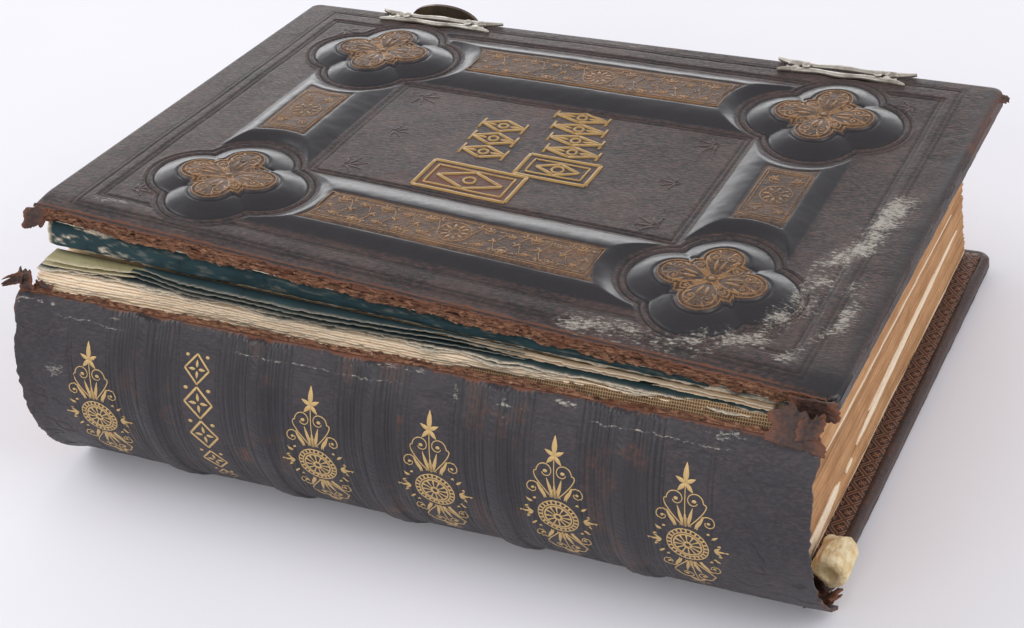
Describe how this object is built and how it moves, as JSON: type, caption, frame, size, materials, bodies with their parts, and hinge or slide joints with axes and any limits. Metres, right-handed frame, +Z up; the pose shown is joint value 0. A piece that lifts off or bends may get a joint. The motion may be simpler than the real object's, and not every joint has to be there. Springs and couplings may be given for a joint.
{
  "type": "bible",
  "caption": "Large leather-bound family bible lying on its back board, with embossed boards, rounded banded spine, loose front board and metal clasp fittings on the fore edge.",
  "frame": {"origin": "middle of the underside of the book's bounding box", "axes": "+X from head to tail along the spine, +Y from the spine to the fore edge, +Z up through the thickness; the book lies on its back board"},
  "size_m": [0.3314, 0.263, 0.123],
  "materials": {
    "cover_leather": "aged satin, embossed and rubbed",
    "pasteboard": "matt torn board",
    "teal_paper": "matt coated endpaper",
    "pattern_paper": "satin printed lattice",
    "page_paper": "matt toned leaf edges",
    "cream_paper": "matt",
    "olive_paper": "matt",
    "mull_cloth": "open weave",
    "nickel": "nickel plated, tarnished"
  },
  "bodies": {
    "text_block": {"section_1": "page_paper", "section_2": "page_paper", "section_3": "page_paper", "section_4": "page_paper", "section_5": "page_paper", "section_6": "page_paper", "loose_section_1": "page_paper", "loose_section_2": "cream_paper", "rear_flyleaf": "cream_paper", "back_free_endpaper": "pattern_paper", "mull_lining": "mull_cloth", "spine_card": "pasteboard", "spine_leather": "cover_leather", "head_endband": "cream_paper", "tail_endband": "cream_paper", "sewing_tape_1": "cream_paper", "sewing_tape_2": "cream_paper", "sewing_tape_3": "cream_paper", "sewing_tape_4": "cream_paper", "raised_band_1": "pasteboard", "raised_band_2": "pasteboard", "raised_band_3": "pasteboard", "raised_band_4": "pasteboard", "raised_band_5": "pasteboard"},
    "front_board": {"front_board": "pasteboard", "front_cover_leather": "cover_leather", "front_pastedown": "teal_paper", "clasp_plate_head": "nickel", "clasp_plate_tail": "nickel", "clasp_rivet_head_1": "nickel", "clasp_rivet_head_2": "nickel", "clasp_rivet_tail_1": "nickel", "clasp_rivet_tail_2": "nickel"},
    "endpaper_leaf": {"front_free_endpaper": "teal_paper"},
    "flyleaf": {"front_flyleaf": "olive_paper"},
    "back_board": {"back_board": "pasteboard", "back_cover_leather": "cover_leather", "back_pastedown": "pattern_paper", "hinge_plate_head": "nickel", "hinge_plate_tail": "nickel", "hinge_pin_head": "nickel", "hinge_pin_tail": "nickel"},
    "clasp_arm": {"clasp_arm_head": "nickel"}
  },
  "joints": [
    {"name": "front_board_opens", "type": "hinge", "parent": "text_block", "child": "front_board", "pos_m": [0.00325, -0.10608, 0.11134], "axis": [0.9973, 0, -0.0738], "range_deg": [0, 180]},
    {"name": "endpaper_turns", "type": "hinge", "parent": "text_block", "child": "endpaper_leaf", "pos_m": [-0.00325, -0.10278, 0.09508], "axis": [0.999, 0, -0.0437], "range_deg": [0, 90]},
    {"name": "flyleaf_turns", "type": "hinge", "parent": "text_block", "child": "flyleaf", "pos_m": [-0.00325, -0.09978, 0.09234], "axis": [0.9994, 0, -0.036], "range_deg": [0, 72]},
    {"name": "back_board_opens", "type": "hinge", "parent": "text_block", "child": "back_board", "pos_m": [-0.00325, -0.09708, -0.0004], "axis": [-1, 0, 0], "range_deg": [0, 180]},
    {"name": "clasp_arm_swings", "type": "hinge", "parent": "back_board", "child": "clasp_arm", "pos_m": [-0.09825, 0.12942, 0.0042], "axis": [-1, 0, 0], "range_deg": [0, 92]}
  ],
  "couplings": [
    {"joint": "endpaper_turns", "follows": "front_board_opens", "ratio": 0.5},
    {"joint": "flyleaf_turns", "follows": "front_board_opens", "ratio": 0.4}
  ]
}
